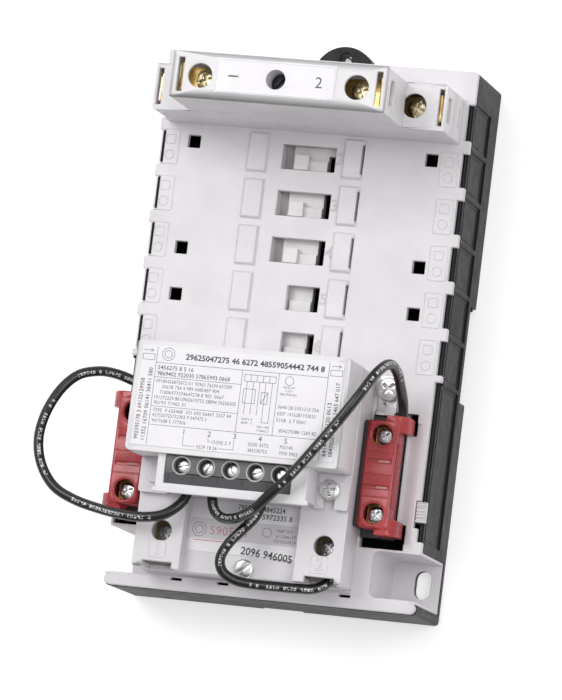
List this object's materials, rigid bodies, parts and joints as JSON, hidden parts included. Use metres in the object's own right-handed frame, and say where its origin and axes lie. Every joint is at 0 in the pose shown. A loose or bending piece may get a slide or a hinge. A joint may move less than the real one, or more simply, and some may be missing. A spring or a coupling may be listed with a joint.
{
  "type": "din rail contactor",
  "caption": "Mechanically held panel contactor with a black base, white station cover, power module, coil with control module, red auxiliary switches and jumper wires.",
  "frame": {"origin": "centre of the rail channel, in the plane of the base's back face and midway between its top and bottom edges", "axes": "+Z out of the panel towards the user, +Y up the panel towards the hanging ear, +X to the user's right along the mounting rail"},
  "size_m": [0.1459, 0.2135, 0.0963],
  "materials": {
    "black_moulding": "fine moulded texture",
    "grey_white_moulding": "smooth moulded thermoplastic",
    "white_moulding": "smooth moulded thermoplastic",
    "label": "printed film",
    "terminal_brass": "nickel-washed",
    "contact_brass": "stamped",
    "plated_screw": "zinc-plated",
    "dark_screw": "blackened",
    "dark_grey_moulding": "satin",
    "plated_steel": "zinc-plated",
    "spring_steel": "drawn wire",
    "circuit_board": "solder mask",
    "red_moulding": "smooth moulded thermoplastic",
    "black_inner_moulding": "moulded",
    "carrier_moulding": "moulded",
    "magnet_steel": "stacked sheet steel",
    "enamelled_copper": "enamelled winding under tape",
    "wire_jacket": "extruded jacket"
  },
  "bodies": {
    "housing": {"base_housing": "black_moulding", "mechanism_rails": "black_moulding", "front_cover": "grey_white_moulding", "coil_cover": "grey_white_moulding", "pole_base": "grey_white_moulding", "module_base": "grey_white_moulding", "pole_cap": "white_moulding", "module_housing": "white_moulding", "coil_label": "label", "pole_label": "label", "module_label": "label", "coil_terminals": "terminal_brass", "pole_terminals": "contact_brass", "aux_contacts": "contact_brass", "coil_terminal_screws": "plated_screw", "cover_screw": "plated_screw", "pole_terminal_screws": "plated_screw", "terminal_block_screws": "plated_screw", "module_screw": "plated_screw", "aux_screws": "plated_screw", "aux_bracket_screws": "plated_screw", "pole_fixing_screw": "dark_screw", "terminal_block": "dark_grey_moulding", "wire_clamps": "plated_steel", "aux_brackets": "plated_steel", "latch_pin": "plated_steel", "carrier_return_spring": "spring_steel", "din_clip_spring": "spring_steel", "module_board": "circuit_board", "aux_left_front": "red_moulding", "aux_right_front": "red_moulding", "aux_left_rear": "black_inner_moulding", "aux_right_rear": "black_inner_moulding", "coil_bobbin": "black_inner_moulding", "magnet_frame": "magnet_steel", "coil_winding": "enamelled_copper", "wire_left_loop": "wire_jacket", "wire_to_right_aux": "wire_jacket", "wire_to_a2": "wire_jacket"},
    "carrier": {"drive_carrier": "carrier_moulding", "armature": "magnet_steel"},
    "pole_carrier": {"pole_contact_carrier": "black_inner_moulding", "pole_contact_bridges": "contact_brass", "pole_contact_springs": "spring_steel"},
    "left_plunger": {"aux_left_plunger": "carrier_moulding"},
    "right_plunger": {"aux_right_plunger": "carrier_moulding"},
    "pawl": {"latch_pawl": "plated_steel"},
    "release": {"release_slide": "grey_white_moulding"},
    "rail_clip": {"din_clip": "grey_white_moulding"}
  },
  "joints": [
    {"name": "carrier_stroke", "type": "slide", "parent": "housing", "child": "carrier", "axis": [1, 0, 0], "range_m": [0, 0.0035], "stiffness_N_per_m": 500, "springref_m": -0.003, "deforming": ["carrier_return_spring"]},
    {"name": "pole_carrier_stroke", "type": "slide", "parent": "housing", "child": "pole_carrier", "axis": [1, 0, 0], "range_m": [0, 0.0035]},
    {"name": "left_plunger_stroke", "type": "slide", "parent": "housing", "child": "left_plunger", "axis": [1, 0, 0], "range_m": [0, 0.0035]},
    {"name": "right_plunger_stroke", "type": "slide", "parent": "housing", "child": "right_plunger", "axis": [1, 0, 0], "range_m": [0, 0.0035]},
    {"name": "release_travel", "type": "slide", "parent": "housing", "child": "release", "axis": [0, -1, 0], "range_m": [0, 0.002], "stiffness_N_per_m": 150, "springref_m": -0.002},
    {"name": "pawl_swing", "type": "hinge", "parent": "housing", "child": "pawl", "pos_m": [0.0455, 0, 0.033], "axis": [0, 0, 1], "range_deg": [-12.4, 0]},
    {"name": "rail_clip_travel", "type": "slide", "parent": "housing", "child": "rail_clip", "axis": [0, -1, 0], "range_m": [0, 0.003], "stiffness_N_per_m": 1500, "springref_m": -0.002, "deforming": ["din_clip_spring"]}
  ],
  "couplings": [
    {"joint": "pole_carrier_stroke", "follows": "carrier_stroke", "ratio": 1},
    {"joint": "left_plunger_stroke", "follows": "carrier_stroke", "ratio": 1},
    {"joint": "right_plunger_stroke", "follows": "carrier_stroke", "ratio": 1},
    {"joint": "pawl_swing", "follows": "release_travel", "rad_per_m": -107.53}
  ]
}
